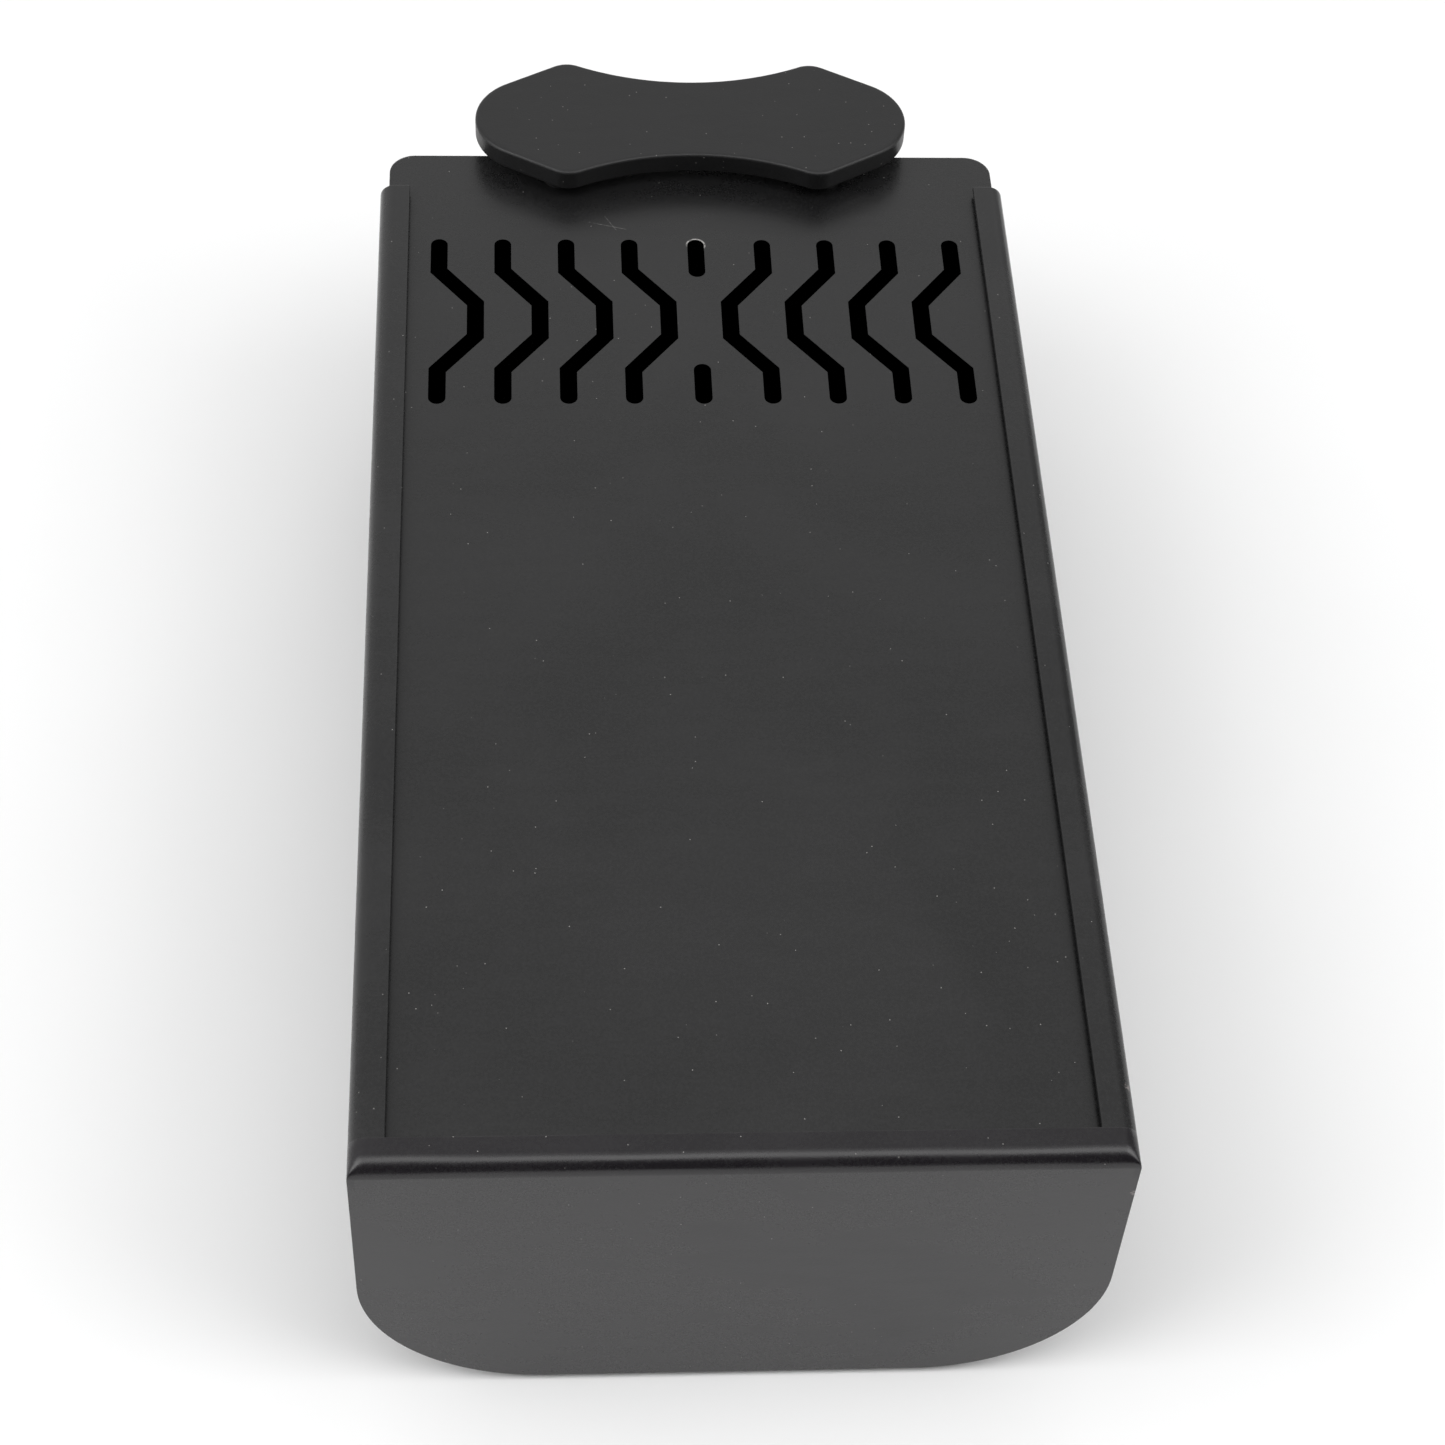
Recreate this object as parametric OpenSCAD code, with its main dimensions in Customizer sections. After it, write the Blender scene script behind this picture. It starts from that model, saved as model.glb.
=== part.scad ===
// Countertop napkin box: a folded sheet-metal tray closed by a flat lid that slides out of
// its rear end under two side flanges, and is pulled by a bow-tie plate on two spacers.
// Millimetres. +Z is up, the closed end of the box faces -Y, and the lid pulls out along +Y.
// The origin is under the middle of the whole object, on the surface that it stands on.

/* [Body] */
// Width of the box across its side walls
body_w = 102.6; // [90:0.1:130]
// Length of the box from its front face to the rear ends of its flanges
body_l = 188; // [150:1:240]
// Height of the box from its underside to the top of its flanges
body_h = 55.4; // [44:0.1:80]
// Thickness of the sheet that the box is folded from
sheet_t = 0.8; // [0.6:0.1:1.2]
// Outside radius of the two long lower corners
corner_r = 25.2; // [12:0.1:28]

/* [Folds] */
// Outside radius of the folds along the top edges
fold_r = 2.4; // [1.6:0.1:3]
// Width of the flanges over the lid, measured from the outside of the box
flange_w = 4.9; // [4:0.1:7]
// Depth of the folded lip along the top of the rear plate
lip_w = 6; // [4:0.5:10]

/* [Guide rails] */
// Width of the ledge that the lid slides on
ledge_w = 4.2; // [3:0.1:6]
// Height of the rail's leg against the side wall
rail_h = 8; // [5:0.5:12]
// Outside radius of the rail's fold
rail_r = 1.6; // [1.3:0.1:2.5]

/* [Lid] */
// Thickness of the lid
lid_t = 1; // [0.8:0.1:1.5]
// How far the lid reaches past the rear ends of the flanges
lid_reach = 9.1; // [7.5:0.1:16]
// Radius of the lid's two rear corners
lid_corner_r = 4.2; // [2:0.1:8]
// Radius of the lid's two front corners, inside the box
lid_front_r = 1.5; // [0.5:0.1:4]

/* [Vent slots] */
// Number of bent slots on each side of the centre line
slots_per_side = 4; // [2:1:5]
// Width of a slot
slot_w = 2.2; // [1.5:0.1:2.8]
// Distance from the centre line to the elbow of the nearest slot
slot_core = 4.9; // [4:0.1:6]
// Sideways step of a slot at its elbow
slot_kick = 5.9; // [4:0.1:7]
// Plain metal between the outermost slot and the flange
slot_land = 3.8; // [2.5:0.1:6]
// Length of the straight stretch at each end of a slot
slot_end_l = 6.1; // [4:0.1:9]
// Length that each slanted stretch covers along the lid
slot_slant_l = 7.6; // [5:0.1:10]
// Length of the straight stretch at the elbow
slot_elbow_l = 7.5; // [5:0.1:10]
// Distance from the rear ends of the flanges to the middle of the slots
slot_setback = 30.2; // [28:0.1:45]

/* [Handle] */
// Width of the bow-tie plate from side to side
handle_w = 71.5; // [58:0.1:85]
// Depth of the plate across its lobes
lobe_depth = 27.8; // [24:0.1:36]
// Depth of the plate at its waist
waist_depth = 18.7; // [14:0.1:21]
// Thickness of the plate
handle_t = 3.6; // [3.2:0.1:6]
// Radius of the rounded side ends
lobe_r = 10; // [7:0.1:12]
// Radius of the four rounded peaks
peak_r = 4.3; // [2:0.1:5]
// Distance from a peak's centre back from the side end's centre
peak_back = 5.3; // [3:0.1:7]
// Clear height between the lid and the plate
handle_gap = 2.2; // [1.5:0.1:6]
// Distance from the axes of the plate's screws back to the middle of the plate
handle_back = 7.8; // [5:0.1:9]

/* [Handle fixings] */
// Distance from the plate's side to the axis of its screw
screw_inset = 14.1; // [12:0.1:18]
// Outside diameter of a spacer
spacer_d = 6.5; // [5.5:0.1:7.5]
// Diameter of the screw's thread
screw_d = 3; // [2.5:0.5:3]
// Diameter of the screw's head
screw_head_d = 5.6; // [5:0.1:6.5]
// Height of the screw's head
screw_head_h = 2.2; // [1.6:0.1:2.6]
// Width across the flats of the socket in the screw's head
screw_socket = 2; // [1.5:0.1:2.5]
// Depth of the socket in the screw's head
screw_socket_h = 1.3; // [0.8:0.1:1.4]
// Outside diameter of the washer under the screw's head
washer_d = 7; // [6:0.1:7.5]
// Thickness of the washer
washer_t = 0.5; // [0.3:0.1:0.8]
// Outside diameter of the threaded insert in the plate
insert_d = 5; // [4.4:0.1:5.6]
// Length of the threaded insert
insert_l = 2.6; // [2.4:0.1:2.8]
// Length of thread engaged in the insert
thread_l = 2.2; // [1.8:0.1:2.4]

/* [Feet] */
// Diameter of a rubber foot
foot_d = 10; // [7:0.5:14]
// Height of a rubber foot
foot_h = 1.5; // [1:0.1:4]
// Width of the bevel round the bottom of a foot
foot_bevel = 0.4; // [0.2:0.1:0.8]
// Distance from each end of the box to the centre of a foot
foot_inset = 16; // [10:1:30]
// Distance from the end of the flat floor to the edge of a foot
foot_margin = 2; // [1:0.5:6]

/* [Clearances] */
// Gap between the lid's edges and the inside of the folds
side_gap = 0.4; // [0.3:0.05:0.6]
// Gap between the flanges and the top of the lid
top_gap = 0.8; // [0.4:0.05:1]
// Gap between the underside of the lid and the rails
ledge_gap = 0.3; // [0.25:0.05:0.5]
// Gap between the underside of the lid and the rear plate
rear_gap = 0.5; // [0.4:0.05:1]
// Gap between the rear plate's lip and the rails
lip_gap = 0.6; // [0.4:0.1:1.5]
// Gap between the rear plate and the screws and washers, when the lid is shut
fixing_gap = 0.8; // [0.4:0.1:2]
// Radial clearance of the screws in the lid, the spacers and the washers
screw_gap = 0.2; // [0.1:0.05:0.3]

/* [Hidden] */
$fn = 96;

// How far the axes of the handle's screws lie behind the rear plate
screw_reach = max(washer_d, screw_head_d) / 2 + fixing_gap;
// Length from the front face to the rear tips of the handle's lobes
overall_l = body_l + screw_reach + handle_back + lobe_depth / 2;
front_y = -overall_l / 2;
rear_y = front_y + body_l;

floor_z = foot_h;
top_z = floor_z + body_h;
flange_under_z = top_z - sheet_t;
lid_top_z = flange_under_z - top_gap;
lid_under_z = lid_top_z - lid_t;
rail_top_z = lid_under_z - ledge_gap;
rear_top_z = lid_under_z - rear_gap;

// How far the inside of a top fold reaches inward at the level of the lid
fold_in_r = fold_r - sheet_t;
fold_reach = fold_in_r - sqrt(pow(fold_in_r, 2) - pow(max(fold_in_r - top_gap, 0), 2));
edge_gap = sheet_t + fold_reach + side_gap;

lid_w = body_w - 2 * edge_gap;
lid_front_y = front_y + edge_gap;
lid_rear_y = rear_y + lid_reach;
lid_l = lid_rear_y - lid_front_y;

// Half the width of the lid that shows between the flanges
view_half_w = body_w / 2 - flange_w;
slot_outer_x = view_half_w - slot_land - slot_w / 2;
slot_pitch = (slot_outer_x - slot_core - slot_kick) / (slots_per_side - 1);
slot_mid_y = rear_y - slot_setback;
slot_elbow_y = slot_elbow_l / 2;
slot_slant_y = slot_elbow_y + slot_slant_l;
slot_tip_y = slot_slant_y + slot_end_l;
// How far a mitred corner of a slot moves along the slot's straight stretch
slot_mitre = slot_w / 2 * tan(atan2(slot_kick, slot_slant_l) / 2);

screw_y = rear_y + screw_reach;
handle_y = screw_y + handle_back;
handle_under_z = lid_top_z + handle_gap;
lobe_x = handle_w / 2 - lobe_r;
peak_x = lobe_x - peak_back;
peak_y = lobe_depth / 2 - peak_r;
// Radius of the hollow sides, which run smoothly into the rounded peaks
waist_cut = (lobe_depth - waist_depth) / 2;
hollow_r = (pow(peak_x, 2) + pow(peak_r - waist_cut, 2) - pow(peak_r, 2)) / (2 * waist_cut);
hollow_y = waist_depth / 2 + hollow_r;
screw_x = handle_w / 2 - screw_inset;

screw_hole_d = screw_d + 2 * screw_gap;
screw_seat_z = lid_under_z - washer_t;
screw_l = washer_t + lid_t + handle_gap + thread_l;

foot_x = body_w / 2 - corner_r - foot_margin - foot_d / 2;
foot_front_y = front_y + foot_inset;
foot_rear_y = rear_y - foot_inset;

// Outward direction of the straight edge that joins a side end to a peak
lobe_to_peak = [-peak_back, peak_y];
edge_angle = atan2(lobe_to_peak[1], lobe_to_peak[0]) - acos((lobe_r - peak_r) / norm(lobe_to_peak));
edge_normal = [cos(edge_angle), sin(edge_angle)];
// How deep neighbouring curves of the plate's outline run into each other, so that they cross cleanly
overlap = 0.02;
// Where a hollow side leaves its peak
hollow_dir = [-peak_x, hollow_y - peak_y] / norm([peak_x, hollow_y - peak_y]);

// ---- Shapes that repeat ----

// Stands a drawing in the XZ plane up and extrudes it from y0 to y1
module along_y(y0, y1) {
    translate([0, y1, 0])
        rotate([90, 0, 0])
            linear_extrude(height = y1 - y0) children();
}

// Stands a drawing in the YZ plane up and extrudes it from x0 to x1
module along_x(x0, x1) {
    translate([x0, 0, 0])
        rotate([90, 0, 90])
            linear_extrude(height = x1 - x0) children();
}

// Draws a box with its own radius on the lower and on the upper corners, standing on y = 0
module section(w, h, low_r, high_r) {
    translate([-w / 2, low_r]) square([w, h - low_r - high_r]);
    translate([-w / 2 + low_r, 0]) square([w - 2 * low_r, low_r]);
    translate([-w / 2 + high_r, h - high_r]) square([w - 2 * high_r, high_r]);
    for (side = [-1, 1]) {
        translate([side * (w / 2 - low_r), low_r]) circle(low_r);
        translate([side * (w / 2 - high_r), h - high_r]) circle(high_r);
    }
}

// Draws a D: square at the top, round at the two lower corners, standing on y = 0
module d_shape(w, h, r) {
    translate([-w / 2, r]) square([w, h - r]);
    translate([-w / 2 + r, 0]) square([w - 2 * r, r]);
    for (side = [-1, 1])
        translate([side * (w / 2 - r), r]) circle(r);
}

// Draws a folded strip: its corner is at [0, 0], one leg runs along +X and one down -Y
module fold(across, down, r) {
    translate([r, -sheet_t]) square([across - r, sheet_t]);
    translate([0, -down]) square([sheet_t, down - r]);
    translate([r, -r])
        intersection() {
            difference() {
                circle(r);
                circle(r - sheet_t);
            }
            translate([-r, 0]) square(r);
        }
}

// ---- Box ----

// Draws the folded sheet across the box, open at the top for half_gap on each side of the middle
module folded_section(half_gap) {
    translate([0, floor_z])
        difference() {
            section(body_w, body_h, corner_r, fold_r);
            translate([0, sheet_t])
                section(body_w - 2 * sheet_t, body_h - 2 * sheet_t, corner_r - sheet_t, fold_in_r);
            translate([-half_gap, body_h - fold_r]) square([2 * half_gap, 2 * fold_r]);
        }
}

// Floor, side walls and side flanges, folded from one sheet
module trough() {
    side_flange_y = front_y + flange_w;
    color("#3c3c3e") {
        along_y(side_flange_y, rear_y) folded_section(view_half_w);
        // The folds stop under the front plate's flange, and follow the inside of its fold
        intersection() {
            along_y(front_y + sheet_t, side_flange_y)
                folded_section(body_w / 2 - max(fold_in_r, sheet_t));
            along_x(-body_w / 2, body_w / 2) {
                translate([front_y + sheet_t + fold_in_r, floor_z])
                    square([flange_w, body_h - sheet_t]);
                translate([front_y + sheet_t, floor_z])
                    square([fold_in_r, body_h - fold_r]);
                translate([front_y + fold_r, top_z - fold_r]) circle(fold_in_r);
            }
        }
    }
}

// Front end plate, which covers the trough's end, folds back over the lid and rounds off at its ends
module front_plate() {
    color("#525153")
        intersection() {
            along_x(-body_w / 2, body_w / 2)
                translate([front_y, top_z])
                    fold(flange_w, body_h, fold_r);
            along_y(front_y - sheet_t, front_y + flange_w + sheet_t)
                translate([0, floor_z]) section(body_w, body_h, corner_r, fold_r);
        }
}

// Rear end plate, set inside the trough, with a folded lip under the lid
module rear_plate() {
    inner_w = body_w - 2 * sheet_t;
    plate_h = rear_top_z - floor_z - sheet_t;
    lip_half_w = inner_w / 2 - ledge_w - lip_gap;
    color("#3c3c3e") {
        difference() {
            along_y(rear_y - sheet_t, rear_y)
                translate([0, floor_z + sheet_t]) d_shape(inner_w, plate_h, corner_r - sheet_t);
            translate([-lip_half_w, rear_y - 2 * sheet_t, rear_top_z - fold_r])
                cube([2 * lip_half_w, 3 * sheet_t, 2 * fold_r]);
        }
        translate([0, rear_y, rear_top_z])
            mirror([0, 1, 0])
                along_x(-lip_half_w, lip_half_w) fold(lip_w, fold_r + sheet_t, fold_r);
    }
}

// Folded rail along one side wall that carries the lid's edge
module rail(side) {
    wall_x = body_w / 2 - sheet_t;
    color("#3c3c3e")
        mirror([side < 0 ? 1 : 0, 0, 0])
            along_y(front_y + sheet_t, rear_y - sheet_t)
                translate([wall_x, rail_top_z])
                    mirror([1, 0]) fold(ledge_w, rail_h, rail_r);
}

// Round rubber foot under the flat floor
module foot(x, y) {
    color("#1c1c1c")
        translate([x, y, 0])
            rotate_extrude()
                polygon([
                    [0, 0], [foot_d / 2 - foot_bevel, 0],
                    [foot_d / 2, foot_bevel], [foot_d / 2, foot_h], [0, foot_h]
                ]);
}

// ---- Lid ----

// Draws one slot centred on y = 0: it starts at outer_x and bends across to elbow_x
module bent_slot(outer_x, elbow_x) {
    half = slot_w / 2;
    turn = sign(elbow_x - outer_x) * slot_mitre;
    right_side = [
        [outer_x + half, slot_tip_y], [outer_x + half, slot_slant_y + turn],
        [elbow_x + half, slot_elbow_y + turn], [elbow_x + half, -slot_elbow_y - turn],
        [outer_x + half, -slot_slant_y - turn], [outer_x + half, -slot_tip_y]
    ];
    left_side = [
        [outer_x - half, -slot_tip_y], [outer_x - half, -slot_slant_y + turn],
        [elbow_x - half, -slot_elbow_y + turn], [elbow_x - half, slot_elbow_y - turn],
        [outer_x - half, slot_slant_y - turn], [outer_x - half, slot_tip_y]
    ];
    polygon(concat(right_side, left_side));
    for (end = [-1, 1])
        translate([outer_x, end * slot_tip_y]) circle(slot_w / 2);
}

// Draws the two short slots on the centre line, level with the ends of the bent ones
module centre_slots() {
    for (end = [-1, 1]) {
        translate([-slot_w / 2, end > 0 ? slot_slant_y : -slot_tip_y])
            square([slot_w, slot_end_l]);
        for (y = [slot_slant_y, slot_tip_y])
            translate([0, end * y]) circle(slot_w / 2);
    }
}

// Draws the lid's outline
module lid_outline() {
    translate([-lid_w / 2, lid_front_y + lid_front_r])
        square([lid_w, lid_l - lid_front_r - lid_corner_r]);
    translate([-lid_w / 2 + lid_front_r, lid_front_y])
        square([lid_w - 2 * lid_front_r, lid_front_r]);
    translate([-lid_w / 2 + lid_corner_r, lid_rear_y - lid_corner_r])
        square([lid_w - 2 * lid_corner_r, lid_corner_r]);
    for (side = [-1, 1]) {
        translate([side * (lid_w / 2 - lid_front_r), lid_front_y + lid_front_r])
            circle(lid_front_r);
        translate([side * (lid_w / 2 - lid_corner_r), lid_rear_y - lid_corner_r])
            circle(lid_corner_r);
    }
}

// Flat sliding lid with its slots and the two holes for the handle's screws
module lid() {
    color("#3a3a3c")
        translate([0, 0, lid_under_z])
            difference() {
                linear_extrude(height = lid_t)
                    difference() {
                        lid_outline();
                        translate([0, slot_mid_y]) {
                            centre_slots();
                            for (side = [-1, 1], i = [0 : slots_per_side - 1])
                                bent_slot(side * (slot_core + slot_kick + i * slot_pitch),
                                          side * (slot_core + i * slot_pitch));
                        }
                    }
                for (side = [-1, 1])
                    translate([side * screw_x, screw_y, -lid_t])
                        cylinder(d = screw_hole_d, h = 3 * lid_t);
            }
}

// ---- Handle ----

// Draws the bow-tie: round side ends, straight edges to the peaks, and hollow sides
module bow_tie() {
    quarter = [
        [lobe_x, 0] + (lobe_r - overlap) * edge_normal,
        [peak_x, peak_y] + (peak_r - overlap) * edge_normal,
        [peak_x, peak_y] + (peak_r - 3 * overlap) * hollow_dir
    ];
    difference() {
        union() {
            polygon(concat(
                [for (i = [0 : 2]) quarter[i]],
                [for (i = [2 : -1 : 0]) [-quarter[i][0], quarter[i][1]]],
                [for (i = [0 : 2]) -quarter[i]],
                [for (i = [2 : -1 : 0]) [quarter[i][0], -quarter[i][1]]]
            ));
            for (sx = [-1, 1]) {
                translate([sx * lobe_x, 0]) circle(lobe_r);
                for (sy = [-1, 1])
                    translate([sx * peak_x, sy * peak_y]) circle(peak_r);
            }
        }
        for (sy = [-1, 1])
            translate([0, sy * hollow_y]) circle(hollow_r + overlap, $fn = 360);
    }
}

// Bow-tie pull plate, with blind pockets below for its two threaded inserts
module pull_handle() {
    color("#38383a")
        translate([0, handle_y, handle_under_z])
            difference() {
                linear_extrude(height = handle_t) bow_tie();
                for (side = [-1, 1])
                    translate([side * screw_x, -handle_back, -insert_l])
                        cylinder(d = insert_d, h = 2 * insert_l);
            }
}

// Spacer ring between the lid and the pull plate
module spacer(side) {
    color("#2b2b2d")
        translate([side * screw_x, screw_y, lid_top_z])
            difference() {
                cylinder(d = spacer_d, h = handle_gap);
                translate([0, 0, -1]) cylinder(d = screw_hole_d, h = handle_gap + 2);
            }
}

// Socket screw that goes up through the lid and the spacer into the insert
module screw(side) {
    color("#8d9094")
        translate([side * screw_x, screw_y, screw_seat_z])
            difference() {
                union() {
                    cylinder(d = screw_d, h = screw_l);
                    translate([0, 0, -screw_head_h]) cylinder(d = screw_head_d, h = screw_head_h);
                }
                translate([0, 0, -2 * screw_head_h])
                    cylinder(d = screw_socket / cos(30), h = screw_head_h + screw_socket_h, $fn = 6);
            }
}

// Washer between the screw's head and the lid
module washer(side) {
    color("#a4a6a8")
        translate([side * screw_x, screw_y, screw_seat_z])
            difference() {
                cylinder(d = washer_d, h = washer_t);
                translate([0, 0, -washer_t]) cylinder(d = screw_hole_d, h = 3 * washer_t);
            }
}

// Threaded insert pressed into the underside of the pull plate
module insert(side) {
    color("#b08d4a")
        translate([side * screw_x, screw_y, handle_under_z])
            difference() {
                cylinder(d = insert_d, h = insert_l);
                translate([0, 0, -insert_l]) cylinder(d = screw_d, h = 3 * insert_l);
            }
}

trough();
front_plate();
rear_plate();
rail(-1);  // left_rail
rail(1);  // right_rail
foot(-foot_x, foot_front_y);  // front_left_foot
foot(foot_x, foot_front_y);  // front_right_foot
foot(-foot_x, foot_rear_y);  // rear_left_foot
foot(foot_x, foot_rear_y);  // rear_right_foot
lid();
pull_handle();
spacer(-1);  // left_spacer
spacer(1);  // right_spacer
screw(-1);  // left_screw
screw(1);  // right_screw
washer(-1);  // left_washer
washer(1);  // right_washer
insert(-1);  // left_insert
insert(1);  // right_insert
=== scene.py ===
"""Looks of the countertop napkin box: a folded, coated tray with a sliding lid and a bow-tie pull.

The sheet pieces, the lid and the pull are built in millimetres, and their outer sizes and places are
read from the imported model's own boxes. Materials and the studio are in metres, unless a value says MM.
"""

import math

import bmesh
import bpy
from mathutils import Matrix, Vector
from mathutils.geometry import delaunay_2d_cdt


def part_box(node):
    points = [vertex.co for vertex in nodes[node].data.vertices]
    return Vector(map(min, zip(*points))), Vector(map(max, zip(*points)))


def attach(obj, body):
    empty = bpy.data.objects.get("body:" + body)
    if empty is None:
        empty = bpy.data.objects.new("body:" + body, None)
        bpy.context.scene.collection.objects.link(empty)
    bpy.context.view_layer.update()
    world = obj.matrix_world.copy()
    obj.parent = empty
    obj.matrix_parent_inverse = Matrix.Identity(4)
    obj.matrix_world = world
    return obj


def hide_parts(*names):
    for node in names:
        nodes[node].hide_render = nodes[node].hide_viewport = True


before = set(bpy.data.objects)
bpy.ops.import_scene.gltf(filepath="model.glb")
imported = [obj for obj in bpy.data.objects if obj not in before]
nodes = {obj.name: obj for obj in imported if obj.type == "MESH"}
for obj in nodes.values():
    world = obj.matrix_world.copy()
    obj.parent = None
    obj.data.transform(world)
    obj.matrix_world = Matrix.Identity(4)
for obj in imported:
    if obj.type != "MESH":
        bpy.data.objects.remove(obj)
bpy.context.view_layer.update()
MM = 0.001


def box_mm(node):
    """Lowest and highest corner of a CAD node, in millimetres."""
    low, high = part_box(node)
    return low / MM, high / MM


# ---- Sizes that the pieces share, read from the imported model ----
trough_low, trough_high = box_mm("trough")
plate_low, plate_high = box_mm("front_plate")
lid_low, lid_high = box_mm("lid")
handle_low, handle_high = box_mm("pull_handle")

SHEET = trough_low.y - plate_low.y
HALF_W = plate_high.x
FRONT_Y = plate_low.y
REAR_Y = trough_high.y
FLANGE_W = plate_high.y - plate_low.y
FLOOR_Z = trough_low.z
TOP_Z = trough_high.z
VIEW_HALF_W = HALF_W - FLANGE_W
# Outer radii of the top folds and of the trough's lower corners
FOLD_R = 2.4
CORNER_R = 25.2
# How deep and how far the trough's folds tuck in under the front plate
TUCK = 0.03
TUCK_L = 0.35
# Radius of the rolled rims of folded sheet, and of the small fixings' edges
RIM_R = 0.18
FIXING_EDGE_R = 0.12
# Points round a quarter of a lower corner
CORNER_STEPS = 32

# How much flatter than round the front fold is: an even part, waves along it as (depth, length,
# phase), and dips near its ends as (depth, middle, width)
FOLD_FLAT = 0.05
FOLD_WAVES = ((0.025, 9, 0.7), (0.015, 3.7, 2))
FOLD_DIPS = ((0.06, -43, 6), (0.036, 46, 4))
# Power that blends the front fold into the roll at its ends: higher keeps both rounder for longer
FOLD_BLEND = 3

# Lid: corner radii, and the holes for the pull's screws
LID_FRONT_R = 1.5
LID_REAR_R = 4.2
SCREW_HOLE_D = 3.4

# Slots on each side, their width, the first elbow's distance from the centre line, the ends' shift
# outwards from the elbow, and the land left outside the last slot
SLOTS = 4
SLOT_W = 2.2
SLOT_CORE = 4.9
SLOT_KICK = 5.9
SLOT_LAND = 3.8
# Their straight ends, slants and elbow along the lid, and how far their middle is from the rear
SLOT_END = 6.1
SLOT_SLANT = 7.6
SLOT_ELBOW = 7.5
SLOT_SETBACK = 30.2
# Where the slots' middle is, and how far from it the slant begins, ends, and the end's centre is
SLOT_MID_Y = REAR_Y - SLOT_SETBACK
SLOT_BEND = SLOT_ELBOW / 2
SLOT_TURN = SLOT_BEND + SLOT_SLANT
SLOT_TIP = SLOT_TURN + SLOT_END

# Pull plate: depth at the waist, radii of the side lobes and of the peaks, and how far each peak's
# centre lies inside its lobe's
WAIST_DEPTH = 18.7
LOBE_R = 10.0
PEAK_R = 4.3
PEAK_BACK = 5.3

# Edges of the lid and of the pull: lower radius, upper radius, steps round each, and flat border
LID_EDGE = (0.08, 0.06, 3, 0.2)
PULL_EDGE = (0.5, 0.55, 6, 0.5)


# ---- Mesh helpers ----

def arc(cx, cy, r, start, end, steps):
    """Points on a circle from one angle to another, in degrees, with both ends."""
    angles = [math.radians(start + (end - start) * i / steps) for i in range(steps + 1)]
    return [(cx + r * math.cos(a), cy + r * math.sin(a)) for a in angles]


def tidy_loop(points, least=1e-4):
    """A closed loop without points that fall on each other."""
    kept = []
    for p in points:
        if not kept or math.dist(p, kept[-1]) > least:
            kept.append(p)
    while math.dist(kept[0], kept[-1]) <= least:
        kept.pop()
    return kept


def inset(loop, d):
    """Moves every side of a closed loop by d to its left, which is into the material."""
    out = []
    for i, p in enumerate(loop):
        a, b = Vector(loop[i - 1]), Vector(loop[(i + 1) % len(loop)])
        p = Vector(p)
        u, v = (p - a).normalized(), (b - p).normalized()
        n1, n2 = Vector((-u.y, u.x)), Vector((-v.y, v.x))
        out.append(tuple(p + (n1 + n2) * (d / max(1 + n1.dot(n2), 0.2))))
    return out


def rounded_levels(z0, z1, r_low, r_high, steps, flat):
    """(inset, height) rings up a slab's side with rounded edges, each end ringed by a flat border."""
    low = [(r_low * (1 - math.sin(a)), z0 + r_low * (1 - math.cos(a)))
           for a in (math.pi / 2 * i / steps for i in range(steps + 1))]
    high = [(r_high * (1 - math.sin(a)), z1 - r_high * (1 - math.cos(a)))
            for a in (math.pi / 2 * i / steps for i in range(steps + 1))]
    return [(r_low + flat, z0)] + low + high[::-1] + [(r_high + flat, z1)]


def new_object(name, bm, smooth=True):
    """Makes an object in the scene from a bmesh given in millimetres."""
    bmesh.ops.scale(bm, vec=(MM, MM, MM), verts=bm.verts)
    bmesh.ops.recalc_face_normals(bm, faces=bm.faces)
    mesh = bpy.data.meshes.new(name)
    bm.to_mesh(mesh)
    bm.free()
    if smooth:
        mesh.shade_smooth()
    obj = bpy.data.objects.new(name, mesh)
    bpy.context.scene.collection.objects.link(obj)
    return obj


def slab(name, loops, levels):
    """A flat piece with rounded edges. The outer loop runs anticlockwise and holes run clockwise."""
    bm = bmesh.new()
    loops = [tidy_loop(loop) for loop in loops]
    caps = {0: [], len(levels) - 1: []}
    for loop in loops:
        rings = []
        for d, z in levels:
            rings.append([bm.verts.new((x, y, z)) for x, y in inset(loop, d)])
        for low, high in zip(rings, rings[1:]):
            for i in range(len(low)):
                j = (i + 1) % len(low)
                bm.faces.new((low[i], low[j], high[j], high[i]))
        caps[0].append(rings[0])
        caps[len(levels) - 1].append(rings[-1])
    for cap in caps.values():
        verts = [v for ring in cap for v in ring]
        edges, start = [], 0
        for ring in cap:
            n = len(ring)
            edges += [(start + i, start + (i + 1) % n) for i in range(n)]
            start += n
        flat = [Vector((v.co.x, v.co.y)) for v in verts]
        _, _, faces, origin, _, _ = delaunay_2d_cdt(flat, edges, [], 3, 1e-6)
        for face in faces:
            corners = [verts[origin[i][0]] for i in face]
            if len(set(corners)) == len(corners):
                bm.faces.new(corners)
    return new_object(name, bm)


def modifier(obj, kind, name, **values):
    """Adds a modifier and sets its values."""
    m = obj.modifiers.new(name, kind)
    for key, value in values.items():
        setattr(m, key, value)


def shade_flats(obj):
    """Keeps the shading of large flats flat beside rounded edges."""
    modifier(obj, "WEIGHTED_NORMAL", "flat_shading", keep_sharp=True, weight=80)


def soften(obj, width, segments=2, angle=35):
    """Rounds the sharp edges of a piece and keeps its flats flat."""
    modifier(obj, "BEVEL", "soft_edges", width=width * MM, segments=segments, limit_method="ANGLE",
             angle_limit=math.radians(angle), harden_normals=False)
    shade_flats(obj)


# ---- Materials ----

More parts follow.
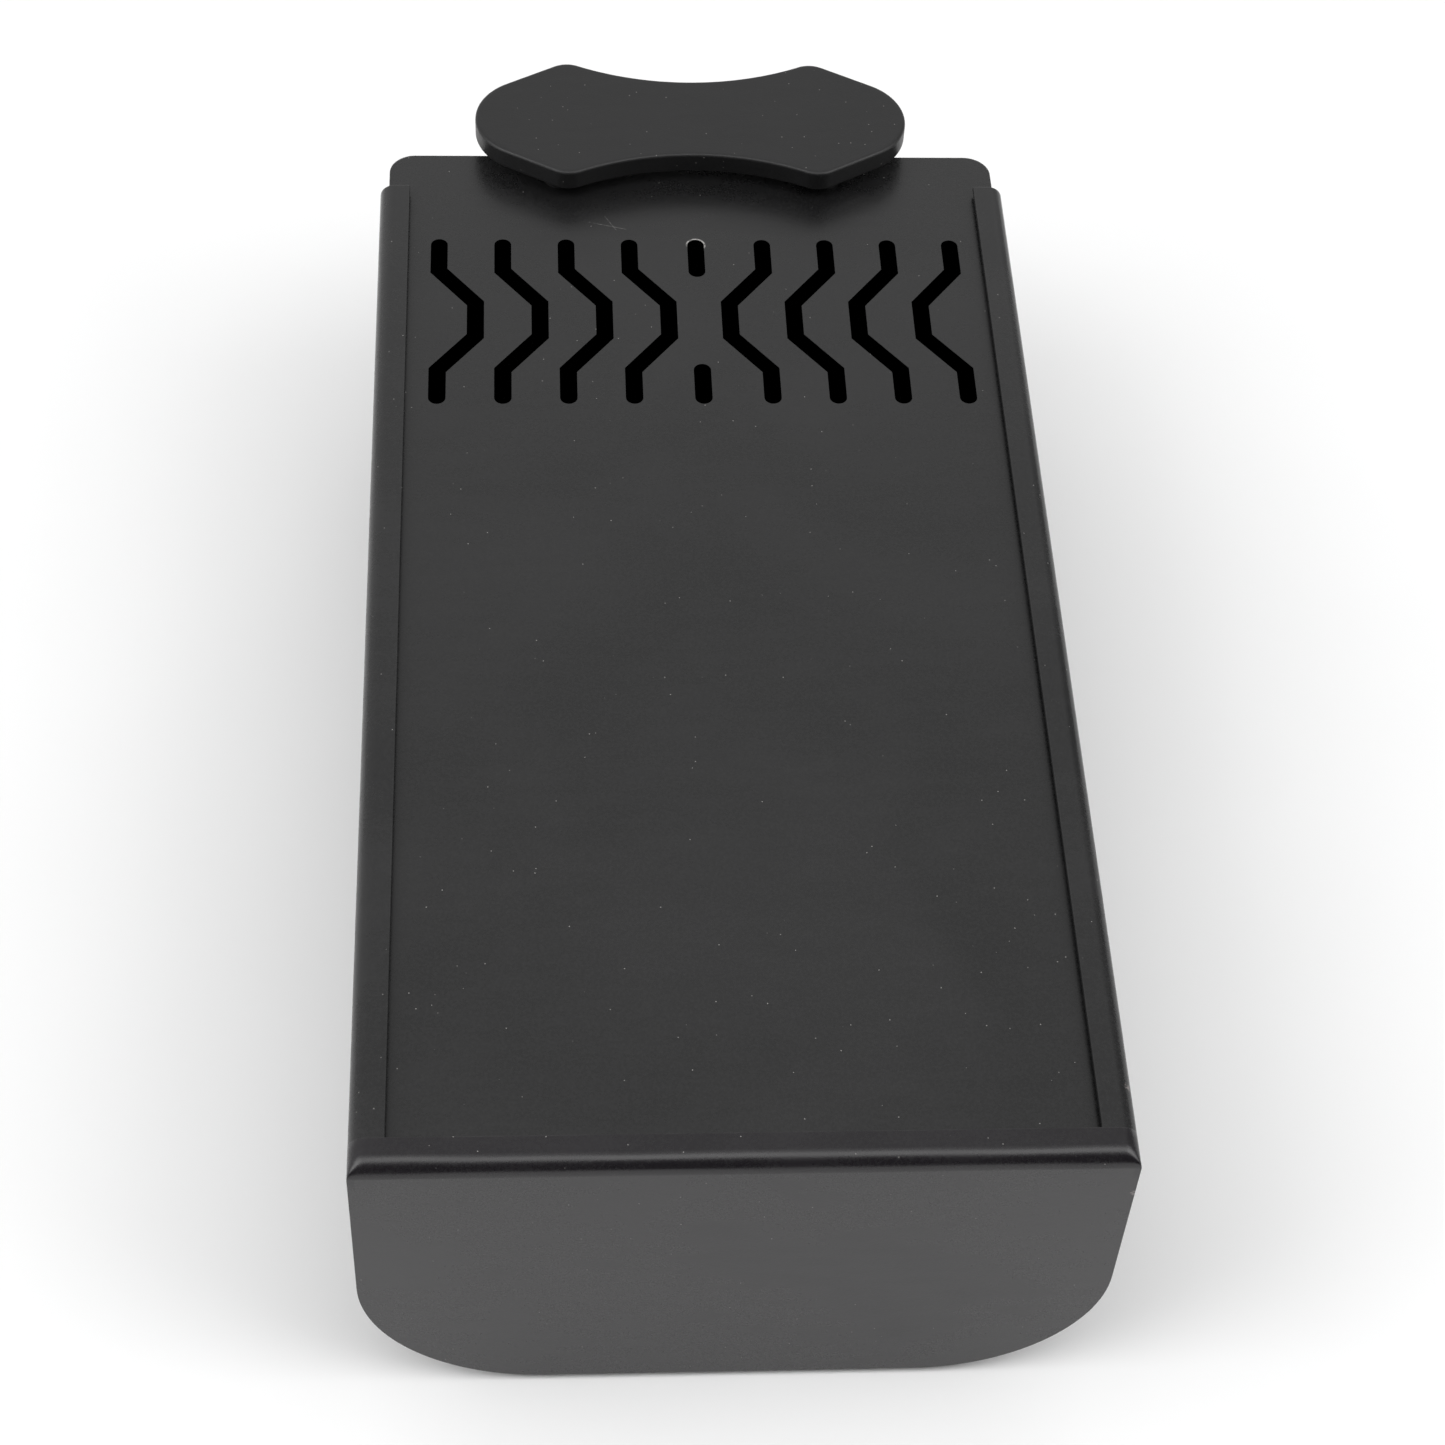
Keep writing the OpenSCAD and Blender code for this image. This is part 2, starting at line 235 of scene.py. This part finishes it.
# Colours that the coat's finer marks are mixed towards
GRAIN_TINT = (0.016, 0.016, 0.0164)
WORN_TINT = (0.055, 0.054, 0.054)
DUST_TINT = (0.30, 0.29, 0.28)
SCRATCH_TINT = (0.16, 0.155, 0.15)
RIM_TINT = (0.35, 0.34, 0.33)
PALE_SPOT_TINT = (0.13, 0.115, 0.11)
# Radii in metres of the wear on a coated and on a metal edge, and of the coat's dust grains
COAT_WEAR_R = 0.00030
METAL_WEAR_R = 0.00025
DUST_R = 0.00011
# How strongly a worn edge of the coat shows
COAT_WEAR = 0.5

# Scratches in the lid's coat, in millimetres: one end, the other end and the width
SCRATCHES = (((-17.2, 73.8), (-11.2, 72.1), 0.09), ((-14.6, 75.2), (-12.8, 71.9), 0.07))
# Chipped rim of the rear centre slot, in millimetres: its full strength and its outer limit from the
# slot's edge, and the middle, from the slot end's centre, and the radius of the part that is chipped
RIM_FULL, RIM_LIMIT = 0.40, 0.60
RIM_MIDDLE, RIM_PART_R = (0.3, 1.0), 2.4
# Small pale spots on the box's coat: across, back from the front face, up, and radius, in millimetres
PALE_SPOTS = ((50.6, 11.5, 56.1, 0.7), (51.1, 5.2, 55.3, 0.6), (51.2, 0.0, 48.5, 0.7))
# Painted shade: share of the coat's gloss taken off the outer side of each long fold, right and left, to
# darken its reflections
PAINTED_SHADE_RIGHT, PAINTED_SHADE_LEFT = 0.36, 0.22


class Nodes:
    """Short calls that build a node tree."""

    def __init__(self, name):
        self.material = bpy.data.materials.new(name)
        self.material.use_nodes = True
        self.tree = self.material.node_tree
        self.shader = self.tree.nodes["Principled BSDF"]
        self.coords = self.add("ShaderNodeTexCoord").outputs["Object"]

    def add(self, kind, **values):
        node = self.tree.nodes.new(kind)
        for key, value in values.items():
            setattr(node, key, value)
        return node

    def put(self, socket, value):
        if isinstance(value, bpy.types.NodeSocket):
            self.tree.links.new(value, socket)
        else:
            socket.default_value = value

    def math(self, op, a, b=0.0, clamp=False):
        node = self.add("ShaderNodeMath", operation=op, use_clamp=clamp)
        self.put(node.inputs[0], a)
        self.put(node.inputs[1], b)
        return node.outputs[0]

    def vector(self, op, a, b=(0, 0, 0), out=0):
        node = self.add("ShaderNodeVectorMath", operation=op)
        self.put(node.inputs[0], a)
        self.put(node.inputs[1], b)
        return node.outputs[out]

    def noise(self, scale, detail=2.0, rough=0.5, stretch=None, distort=0.0):
        node = self.add("ShaderNodeTexNoise")
        coords = self.coords
        if stretch:
            coords = self.vector("MULTIPLY", coords, stretch)
        self.put(node.inputs["Vector"], coords)
        node.inputs["Scale"].default_value = scale
        node.inputs["Detail"].default_value = detail
        node.inputs["Roughness"].default_value = rough
        node.inputs["Distortion"].default_value = distort
        return node.outputs["Fac"]

    def ramp(self, value, low, high, to_low=0.0, to_high=1.0):
        node = self.add("ShaderNodeMapRange", interpolation_type="SMOOTHSTEP")
        for socket, v in zip(("Value", "From Min", "From Max", "To Min", "To Max"),
                             (value, low, high, to_low, to_high)):
            self.put(node.inputs[socket], v)
        return node.outputs["Result"]

    def mix(self, factor, a, b):
        node = self.add("ShaderNodeMix", data_type="RGBA")
        self.put(node.inputs[0], factor)
        for socket, v in ((node.inputs[6], a), (node.inputs[7], b)):
            self.put(socket, v if isinstance(v, bpy.types.NodeSocket) else (*v, 1.0))
        return node.outputs[2]

    def bump(self, height, distance, below=None):
        node = self.add("ShaderNodeBump")
        self.put(node.inputs["Height"], height)
        node.inputs["Distance"].default_value = distance
        node.inputs["Strength"].default_value = 1.0
        if below is not None:
            self.put(node.inputs["Normal"], below)
        return node.outputs["Normal"]

    def edges(self, radius):
        """About 1 on sharp convex or concave edges and 0 on flats."""
        rounded = self.add("ShaderNodeBevel", samples=4)
        rounded.inputs["Radius"].default_value = radius
        plain = self.add("ShaderNodeNewGeometry").outputs["Normal"]
        same = self.vector("DOT_PRODUCT", rounded.outputs[0], plain, out=1)
        return self.ramp(same, 0.995, 0.90)

    def specks(self, scale, radius):
        """1 inside tiny scattered grains."""
        node = self.add("ShaderNodeTexVoronoi", feature="F1")
        self.put(node.inputs["Vector"], self.coords)
        node.inputs["Scale"].default_value = scale
        return self.ramp(node.outputs["Distance"], radius * scale, radius * scale * 0.55)

    def spot(self, centre, radius):
        """1 inside a soft ball round a point given in metres."""
        away = self.vector("DISTANCE", self.coords, centre, out=1)
        return self.ramp(away, radius, radius * 0.6)

    def line(self, start, end, width):
        """1 along a thin straight line between two points given in metres."""
        a, b = Vector(start), Vector(end)
        along = (b - a).normalized()
        rel = self.vector("SUBTRACT", self.coords, tuple(a))
        s = self.vector("DOT_PRODUCT", rel, tuple(along), out=1)
        s = self.math("MINIMUM", self.math("MAXIMUM", s, 0.0), (b - a).length)
        foot = self.add("ShaderNodeVectorMath", operation="SCALE")
        foot.inputs[0].default_value = tuple(along)
        self.put(foot.inputs["Scale"], s)
        away = self.vector("DISTANCE", rel, foot.outputs[0], out=1)
        return self.ramp(away, width, width * 0.3)


def coat(name, dark=(0.0055, 0.0055, 0.0057), light=(0.0085, 0.0084, 0.0087), rough=0.27,
         grain=0.010, peel=0.006, wave=0.0, mottle=0.06, dust_scale=430, ior=1.57, extra=None):
    """Satin black powder coat: fine grain, faint clouds, dust and slightly burnished edges.

    The depths of grain, peel and wave are millimetres.
    """
    n = Nodes(name)
    clouds = n.noise(26, 3.0, 0.55, distort=0.6)
    fine = n.noise(2400, 2.0, 0.6)
    streak = n.noise(420, 2.0, 0.5, stretch=(0.25, 1.0, 1.0))
    colour = n.mix(n.ramp(clouds, 0.3, 0.7), dark, light)
    colour = n.mix(n.ramp(fine, 0.35, 0.75, 0.0, 0.35), colour, GRAIN_TINT)
    roughness = n.ramp(clouds, 0.25, 0.75, rough - mottle, rough + mottle)
    roughness = n.math("ADD", roughness, n.ramp(streak, 0.3, 0.7, -0.02, 0.02))
    roughness = n.math("ADD", roughness, n.ramp(fine, 0.3, 0.7, -0.03, 0.03))
    worn = n.ramp(n.noise(160, 3.0, 0.6), 0.35, 0.65, 0.3, 1.0)
    worn = n.math("MULTIPLY", n.edges(COAT_WEAR_R), worn)
    colour = n.mix(n.math("MULTIPLY", worn, COAT_WEAR), colour, WORN_TINT)
    roughness = n.math("SUBTRACT", roughness, n.math("MULTIPLY", worn, 0.06))
    normal = n.bump(n.noise(3800, 2.0, 0.6), grain * MM)
    normal = n.bump(n.noise(700, 1.0, 0.5), peel * MM, below=normal)
    if wave:
        normal = n.bump(n.noise(34, 1.0, 0.4), wave * MM, below=normal)
    grains = n.specks(dust_scale, DUST_R)
    colour = n.mix(n.math("MULTIPLY", grains, 0.75), colour, DUST_TINT)
    roughness = n.math("ADD", roughness, n.math("MULTIPLY", grains, 0.3), clamp=True)
    if extra:
        colour, roughness = extra(n, colour, roughness)
    n.put(n.shader.inputs["Base Color"], colour)
    n.put(n.shader.inputs["Roughness"], roughness)
    n.put(n.shader.inputs["Normal"], normal)
    n.shader.inputs["IOR"].default_value = ior
    return n.material


def lid_marks(n, colour, roughness):
    """Two crossing scratches, and a pale chipped rim at the end of the rear centre slot."""
    top = lid_high.z
    lines = [n.line((*(c * MM for c in start), top * MM), (*(c * MM for c in end), top * MM), width * MM)
             for start, end, width in SCRATCHES]
    scratch = n.math("MAXIMUM", *lines)
    scratch = n.math("MULTIPLY", scratch, n.ramp(n.noise(1300, 2.0, 0.6), 0.35, 0.6, 0.1, 1.0))
    end_y = SLOT_MID_Y + SLOT_TIP
    away = n.vector("DISTANCE", n.coords, (0.0, end_y * MM, top * MM), out=1)
    part = (RIM_MIDDLE[0] * MM, (end_y + RIM_MIDDLE[1]) * MM, top * MM)
    rim = n.ramp(away, (SLOT_W / 2 + RIM_LIMIT) * MM, (SLOT_W / 2 + RIM_FULL) * MM)
    rim = n.math("MULTIPLY", rim, n.spot(part, RIM_PART_R * MM))
    rim = n.math("MULTIPLY", rim, n.ramp(n.noise(1500, 2.0, 0.6), 0.35, 0.5, 0.3, 1.0))
    colour = n.mix(n.math("MULTIPLY", scratch, 0.55), colour, SCRATCH_TINT)
    colour = n.mix(rim, colour, RIM_TINT)
    return colour, n.math("ADD", roughness, n.math("MULTIPLY", rim, 0.2), clamp=True)


def fold_shade_and_spots(n, colour, roughness):
    """Painted shade that dulls the gloss outside the two long folds, and three small pale spots near the
    right front corner.
    """
    facing, place = [n.add("ShaderNodeSeparateXYZ") for _ in range(2)]
    n.put(facing.inputs[0], n.add("ShaderNodeNewGeometry").outputs["Normal"])
    n.put(place.inputs[0], n.coords)
    # Painted shade: the gloss is turned down on the outer sides of the long folds, more on the right one,
    # to darken their reflections
    painted_shade = n.math("ADD", n.ramp(facing.outputs["X"], 0.50, 0.80, 0.0, PAINTED_SHADE_RIGHT),
                  n.ramp(facing.outputs["X"], -0.60, -0.85, 0.0, PAINTED_SHADE_LEFT))
    on_fold = n.ramp(place.outputs["Z"], (TOP_Z - 1.3 * FOLD_R) * MM, (TOP_Z - FOLD_R) * MM)
    painted_shade = n.math("MULTIPLY", painted_shade, on_fold)
    n.put(n.shader.inputs["Specular IOR Level"], n.math("SUBTRACT", 0.5, painted_shade))
    for x, y, z, r in PALE_SPOTS:
        pale_spot = n.spot((x * MM, (FRONT_Y + y) * MM, z * MM), r * MM)
        pale_spot = n.math("MULTIPLY", pale_spot, n.ramp(n.noise(2600, 2.0, 0.6), 0.4, 0.55))
        colour = n.mix(pale_spot, colour, PALE_SPOT_TINT)
    return colour, roughness


def metal(name, tint, rough=0.32):
    """Turned or plated metal with fine marks round it."""
    n = Nodes(name)
    clouds = n.noise(300, 3.0, 0.6)
    marks = n.noise(2200, 2.0, 0.6, stretch=(1.0, 1.0, 5.0))
    colour = n.mix(n.ramp(clouds, 0.3, 0.7), tuple(c * 0.78 for c in tint), tint)
    worn = n.edges(METAL_WEAR_R)
    colour = n.mix(n.math("MULTIPLY", worn, 0.5), colour, tuple(min(1, c * 1.25) for c in tint))
    n.put(n.shader.inputs["Base Color"], colour)
    n.put(n.shader.inputs["Roughness"], n.ramp(marks, 0.3, 0.7, rough - 0.08, rough + 0.1))
    n.put(n.shader.inputs["Normal"], n.bump(marks, 0.006 * MM))
    n.shader.inputs["Metallic"].default_value = 1.0
    return n.material


def rubber(name):
    """Matte black rubber with a little dust."""
    n = Nodes(name)
    clouds = n.noise(180, 3.0, 0.6)
    colour = n.mix(n.ramp(clouds, 0.3, 0.7), (0.012, 0.012, 0.012), (0.024, 0.024, 0.023))
    colour = n.mix(n.math("MULTIPLY", n.specks(600, 0.00012), 0.5), colour, (0.16, 0.15, 0.14))
    n.put(n.shader.inputs["Base Color"], colour)
    n.put(n.shader.inputs["Roughness"], n.ramp(n.noise(900), 0.3, 0.7, 0.72, 0.86))
    n.put(n.shader.inputs["Normal"], n.bump(n.noise(2600, 2.0, 0.6), 0.02 * MM))
    return n.material


# ---- Sheet-metal pieces ----

def shell(grid, skip=()):
    """The outer face of a folded sheet, from a grid of points."""
    bm = bmesh.new()
    verts = [[bm.verts.new(p) for p in row] for row in grid]
    for i in range(len(grid) - 1):
        for j in range(len(grid[i]) - 1):
            if (i, j) not in skip:
                bm.faces.new((verts[i][j], verts[i][j + 1], verts[i + 1][j + 1], verts[i + 1][j]))
    return bm


def thicken(obj):
    """Gives a folded sheet its thickness, inward, and softens its rims."""
    modifier(obj, "SOLIDIFY", "sheet", thickness=SHEET * MM, offset=-1.0, use_even_offset=True)
    soften(obj, RIM_R, 3, 40)
    return obj


def spread(start, end, steps):
    """Evenly spaced numbers from one value to another, with both ends."""
    return [start + (end - start) * i / steps for i in range(steps + 1)]


def trough():
    """Floor, walls, top folds and side flanges. Near the front, the folds run just inside the plate's."""
    flange_y = FRONT_Y + FLANGE_W
    side = [(-VIEW_HALF_W, TOP_Z)] + arc(-HALF_W + FOLD_R, TOP_Z - FOLD_R, FOLD_R, 90, 180, 12)
    fold_end = len(side) - 1
    side += [(-HALF_W, z) for z in spread(TOP_Z - FOLD_R, FLOOR_Z + CORNER_R, 5)[1:]]
    side += arc(-HALF_W + CORNER_R, FLOOR_Z + CORNER_R, CORNER_R, 180, 270, CORNER_STEPS)[1:]
    path = side + [(-x, z) for x, z in side[::-1]]
    tucked = [FRONT_Y + SHEET, FRONT_Y + FOLD_R, flange_y - TUCK_L]
    ys = tucked + [flange_y + TUCK_L] + spread(flange_y, REAR_Y, 14)[1:]
    last = len(path) - 1
    grid = []
    for i, (x, z) in enumerate(path):
        fold = min(i, last - i) < fold_end
        grid.append([(x * (1 - TUCK / HALF_W), y, z - TUCK) if fold and j < len(tucked) else (x, y, z)
                     for j, y in enumerate(ys)])
    skip = set()
    for i in range(fold_end):
        for column in (0,) if i else (0, 1):
            skip |= {(i, column), (last - 1 - i, column)}
    bm = shell(grid, skip)
    bmesh.ops.delete(bm, geom=[v for v in bm.verts if not v.link_faces], context="VERTS")
    return thicken(new_object("box_trough", bm))


def front_plate():
    """The end plate: a D with its top edge folded back over the lid, and rolled down at both ends."""
    steps = 18
    side = [HALF_W - FOLD_R + FOLD_R * math.sin(math.pi / 2 * i / steps) for i in range(1, steps + 1)]
    middle = spread(-HALF_W + FOLD_R, HALF_W - FOLD_R, 90)
    xs = [-x for x in side[::-1]] + middle + side
    grid = []
    for y in (FRONT_Y + FLANGE_W, FRONT_Y + FLANGE_W * 0.75):
        grid.append([(x, y, TOP_Z - FOLD_R + FOLD_R * fold_height(0, x)) for x in xs])
    for i in range(steps + 1):
        turn = math.pi / 2 * i / steps
        row = []
        for x in xs:
            r = FOLD_R - fold_wander(x) * math.sin(2 * turn)
            z = TOP_Z - FOLD_R + r * fold_height(turn, x)
            row.append((x, FRONT_Y + FOLD_R - r * math.sin(turn), z))
        grid.append(row)
    for z in spread(TOP_Z - FOLD_R, FLOOR_Z + CORNER_R, 10)[1:]:
        grid.append([(x, FRONT_Y, z) for x in xs])
    for i in range(1, CORNER_STEPS + 1):
        turn = math.pi / 2 * i / CORNER_STEPS
        half = HALF_W - CORNER_R * (1 - math.cos(turn))
        z = FLOOR_Z + CORNER_R * (1 - math.sin(turn))
        grid.append([(x * half / HALF_W, FRONT_Y, z) for x in xs])
    return thicken(new_object("box_front_plate", shell(grid)))


def fold_height(turn, x):
    """Height over the fold's axis, 0 to 1, where the front fold runs into the roll at either end."""
    across = min(max(abs(x) - HALF_W + FOLD_R, 0) / FOLD_R, 1)
    along, down = math.cos(turn), math.sqrt(max(1 - across ** 2, 0))
    if min(along, down) < 1e-6:
        return 0.0
    return (along ** -FOLD_BLEND + down ** -FOLD_BLEND - 1) ** (-1 / FOLD_BLEND)


def fold_wander(x):
    """How much flatter than round the front fold is along the box, in millimetres."""
    waves = sum(depth * math.sin(x / length + phase) for depth, length, phase in FOLD_WAVES)
    dips = sum(depth * math.exp(-((x - middle) / width) ** 2) for depth, middle, width in FOLD_DIPS)
    return FOLD_FLAT + waves + dips


# ---- Lid and pull ----

def bent_slot(outer_x, elbow_x):
    """A slot's outline, clockwise, with mitred elbows and round ends."""
    half = SLOT_W / 2
    side = 1 if elbow_x > outer_x else -1
    mitre = half * math.tan(math.atan2(abs(elbow_x - outer_x), SLOT_SLANT) / 2) * side

    def flank(edge, shift):
        """One long side, from the rear tip to the front one."""
        return [(outer_x + edge, SLOT_TIP), (outer_x + edge, SLOT_TURN + shift),
                (elbow_x + edge, SLOT_BEND + shift), (elbow_x + edge, -SLOT_BEND - shift),
                (outer_x + edge, -SLOT_TURN - shift), (outer_x + edge, -SLOT_TIP)]

    loop = flank(half, mitre) + arc(outer_x, -SLOT_TIP, half, 0, -180, 14)[1:-1]
    loop += flank(-half, -mitre)[::-1] + arc(outer_x, SLOT_TIP, half, 180, 0, 14)[1:-1]
    return [(x, y + SLOT_MID_Y) for x, y in loop]


def straight_slot(y0, y1):
    """A short slot on the centre line, clockwise."""
    half = SLOT_W / 2
    return arc(0, y1, half, 180, 0, 14) + arc(0, y0, half, 0, -180, 14)


def lid():
    """The sliding panel, with its slots and the holes for the pull's screws."""
    left, right, front, rear = lid_low.x, lid_high.x, lid_low.y, lid_high.y
    outline = (arc(left + LID_FRONT_R, front + LID_FRONT_R, LID_FRONT_R, 180, 270, 6)
               + arc(right - LID_FRONT_R, front + LID_FRONT_R, LID_FRONT_R, 270, 360, 6)
               + arc(right - LID_REAR_R, rear - LID_REAR_R, LID_REAR_R, 0, 90, 16)
               + arc(left + LID_REAR_R, rear - LID_REAR_R, LID_REAR_R, 90, 180, 16))
    outer = VIEW_HALF_W - SLOT_LAND - SLOT_W / 2
    pitch = (outer - SLOT_CORE - SLOT_KICK) / (SLOTS - 1)
    loops = [outline]
    for i in range(SLOTS):
        elbow = SLOT_CORE + i * pitch
        for side in (-1, 1):
            loops.append(bent_slot(side * (elbow + SLOT_KICK), side * elbow))
    loops += [straight_slot(SLOT_MID_Y + SLOT_TURN, SLOT_MID_Y + SLOT_TIP),
              straight_slot(SLOT_MID_Y - SLOT_TIP, SLOT_MID_Y - SLOT_TURN)]
    for node in ("left_spacer", "right_spacer"):
        low, high = box_mm(node)
        centre = (low + high) / 2
        loops.append(arc(centre.x, centre.y, SCREW_HOLE_D / 2, 360, 0, 32)[:-1])
    levels = rounded_levels(lid_low.z, lid_high.z, *LID_EDGE)
    obj = slab("sliding_lid_panel", loops, levels)
    shade_flats(obj)
    return obj


def bow_tie():
    """The pull plate's outline, anticlockwise: round ends, straight edges, peaks and hollow sides."""
    width = handle_high.x - handle_low.x
    depth = handle_high.y - handle_low.y
    lobe_x = width / 2 - LOBE_R
    peak_x, peak_y = lobe_x - PEAK_BACK, depth / 2 - PEAK_R
    cut = (depth - WAIST_DEPTH) / 2
    hollow_r = (peak_x ** 2 + (PEAK_R - cut) ** 2 - PEAK_R ** 2) / (2 * cut)
    hollow_y = WAIST_DEPTH / 2 + hollow_r
    reach = math.hypot(PEAK_BACK, peak_y)
    edge = math.degrees(math.atan2(peak_y, -PEAK_BACK) - math.acos((LOBE_R - PEAK_R) / reach))
    turn = math.degrees(math.atan2(hollow_y - peak_y, -peak_x))
    upper = (arc(lobe_x, 0, LOBE_R, 0, edge, 14) + arc(peak_x, peak_y, PEAK_R, edge, turn, 8)
             + arc(0, hollow_y, hollow_r, turn - 180, -turn, 40)[1:]
             + arc(-peak_x, peak_y, PEAK_R, 180 - turn, 180 - edge, 8)[1:]
             + arc(-lobe_x, 0, LOBE_R, 180 - edge, 180, 14))
    centre = (handle_low + handle_high) / 2
    return [(x + centre.x, y + centre.y) for x, y in upper + [(-x, -y) for x, y in upper[1:-1]]]


def pull():
    """The thick bow-tie plate over the lid's rear edge."""
    levels = rounded_levels(handle_low.z, handle_high.z, *PULL_EDGE)
    obj = slab("pull_plate", [bow_tie()], levels)
    shade_flats(obj)
    return obj


# ---- Materials and pieces put together ----

box_mat = coat("box_powder_coat", extra=fold_shade_and_spots)
# Painted light: the front plate gets a lighter, purplish copy of the box coat with a lower IOR, standing
# in for how the light falls on the front face
face_painted_light_mat = coat("front_coat_painted_light", dark=(0.0070, 0.0057, 0.0074), light=(0.0104, 0.0088, 0.0109),
                mottle=0.07, wave=0.02, ior=1.52, extra=fold_shade_and_spots)
lid_mat = coat("lid_powder_coat", rough=0.30, mottle=0.03, extra=lid_marks)
handle_mat = coat("pull_moulding", rough=0.42, ior=1.47, grain=0.012, peel=0.01, dust_scale=520)
spacer_mat = coat("spacer_coat", rough=0.5)
steel_mat = metal("zinc_plate", (0.52, 0.53, 0.54))
brass_mat = metal("insert_brass", (0.66, 0.50, 0.24))
foot_mat = rubber("foot_rubber")

# CAD nodes that stay as they are, by their material
KEPT = (
    (box_mat, ("rear_plate", "left_rail", "right_rail")),
    (spacer_mat, ("left_spacer", "right_spacer")),
    (steel_mat, ("left_screw", "right_screw", "left_washer", "right_washer")),
    (brass_mat, ("left_insert", "right_insert")),
    (foot_mat, ("front_left_foot", "front_right_foot", "rear_left_foot", "rear_right_foot")),
)
for material, names in KEPT:
    for name in names:
        slots = nodes[name].data.materials
        slots.clear()
        slots.append(material)
for name in ("rear_plate", "left_rail", "right_rail"):
    soften(nodes[name], RIM_R, 3)
for name in ("left_washer", "right_washer", "left_screw", "right_screw"):
    soften(nodes[name], FIXING_EDGE_R)

for maker, material, node, body, slot in (
        (trough, box_mat, "trough", "box", "box_coat"),
        (front_plate, face_painted_light_mat, "front_plate", "box", "box_coat"),
        (lid, lid_mat, "lid", "sliding_lid", "lid_coat"),
        (pull, handle_mat, "pull_handle", "sliding_lid", "handle_plastic")):
    piece = maker()
    piece.data.materials.append(material)
    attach(piece, body)
    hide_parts(node)


# ---- Floor, light and camera ----

# Brightness of the surroundings: the even part, what is added overhead and towards the front, and
# what is added low behind the box
WORLD = 0.58
ZENITH = 0.55
BACK = 0.26
# Shares of it that are left on the far right, and low in front of the box
RIGHT_SHARE = 0.4
FRONT_SHARE = 0.05
# Half the floor's side in millimetres, and its darkest and lightest reflectance
FLOOR_HALF_SIZE = 6000
FLOOR_DARK, FLOOR_LIGHT = 0.90, 0.92

# Viewpoint: above the closed end, a little to the left, with a slight roll. The three directions are
# the picture's right, its down and the line of sight
EYE = Vector((-0.02740, -0.32252, 0.40786))
RIGHT = Vector((0.998177, -0.043197, 0.042160))
DOWN = Vector((-0.007478, -0.781576, -0.623765))
LOOK = Vector((0.059896, 0.622312, -0.780474))
# Sensor width and focal length in millimetres, and the lens shift as a share of the sensor
SENSOR = 36.0
LENS = 79.6609
SHIFT_UP = 0.034602

# Lights: name, place, point it faces and size, in metres, and power in watts
LIGHTS = (
    ("overhead", (0.0, -0.38, 1.1), (0.0, -0.1, 0.0), (3.0, 0.5), 7.0),
    ("side", (-1.2, -0.35, 1.15), (0.0, -0.05, 0.0), (1.2, 1.2), 6.0),
    ("side", (1.2, -0.35, 1.15), (0.0, -0.05, 0.0), (1.2, 1.2), 6.0),
)


def studio():
    """The pale floor, and soft surroundings whose brightness depends on the direction."""
    scene = bpy.context.scene
    scene.view_settings.view_transform = "Standard"
    scene.view_settings.look = "None"
    bm = bmesh.new()
    bmesh.ops.create_grid(bm, x_segments=8, y_segments=8, size=FLOOR_HALF_SIZE)
    floor = new_object("floor", bm, smooth=False)
    n = Nodes("pale_floor")
    shade = n.noise(9, 3.0, 0.5)
    pale = n.mix(n.ramp(shade, 0.3, 0.7), (FLOOR_DARK,) * 3, (FLOOR_LIGHT,) * 3)
    n.put(n.shader.inputs["Base Color"], pale)
    n.shader.inputs["Roughness"].default_value = 0.8
    n.shader.inputs["Specular IOR Level"].default_value = 0.1
    floor.data.materials.append(n.material)

    world = bpy.data.worlds.new("studio")
    world.use_nodes = True
    scene.world = world
    tree = world.node_tree
    back = tree.nodes["Background"]
    coords = tree.nodes.new("ShaderNodeTexCoord")
    split = tree.nodes.new("ShaderNodeSeparateXYZ")
    tree.links.new(coords.outputs["Generated"], split.inputs[0])

    def step(socket, low, high, to_low, to_high):
        """A smooth change between two directions along one axis."""
        node = tree.nodes.new("ShaderNodeMapRange")
        node.interpolation_type = "SMOOTHSTEP"
        tree.links.new(split.outputs[socket], node.inputs["Value"])
        for key, value in zip(("From Min", "From Max", "To Min", "To Max"), (low, high, to_low, to_high)):
            node.inputs[key].default_value = value
        return node.outputs["Result"]

    def both(op, a, b):
        """Two values joined by a sum or a product."""
        node = tree.nodes.new("ShaderNodeMath")
        node.operation = op
        tree.links.new(a, node.inputs[0])
        tree.links.new(b, node.inputs[1])
        return node.outputs[0]

    glow = step("X", 0.35, 0.75, WORLD, WORLD * RIGHT_SHARE)
    glow = both("ADD", glow, step("Y", 0.55, -0.1, 0.0, ZENITH))
    glow = both("ADD", glow, step("Y", 0.67, 0.80, 0.0, BACK))
    glow = both("MULTIPLY", glow, step("Y", -0.72, -0.3, FRONT_SHARE, 1.0))
    tree.links.new(glow, back.inputs["Strength"])
    back.inputs["Color"].default_value = (1, 1, 1, 1)


def area_light(name, at, aim, size, power):
    """A soft rectangular light that faces a point."""
    data = bpy.data.lights.new(name, "AREA")
    data.shape = "RECTANGLE"
    data.size, data.size_y = size
    data.energy = power
    obj = bpy.data.objects.new(name, data)
    obj.location = at
    obj.rotation_euler = (Vector(aim) - Vector(at)).to_track_quat("-Z", "Y").to_euler()
    bpy.context.scene.collection.objects.link(obj)


def camera():
    """The main viewpoint."""
    data = bpy.data.cameras.new("camera")
    data.sensor_width = SENSOR
    data.lens = LENS
    data.shift_y = SHIFT_UP
    data.clip_start = 0.01
    obj = bpy.data.objects.new("camera", data)
    turn = Matrix((RIGHT, -DOWN, -LOOK)).transposed().to_4x4()
    obj.matrix_world = Matrix.Translation(EYE) @ turn
    bpy.context.scene.collection.objects.link(obj)
    bpy.context.scene.camera = obj


studio()
for light in LIGHTS:
    area_light(*light)
camera()
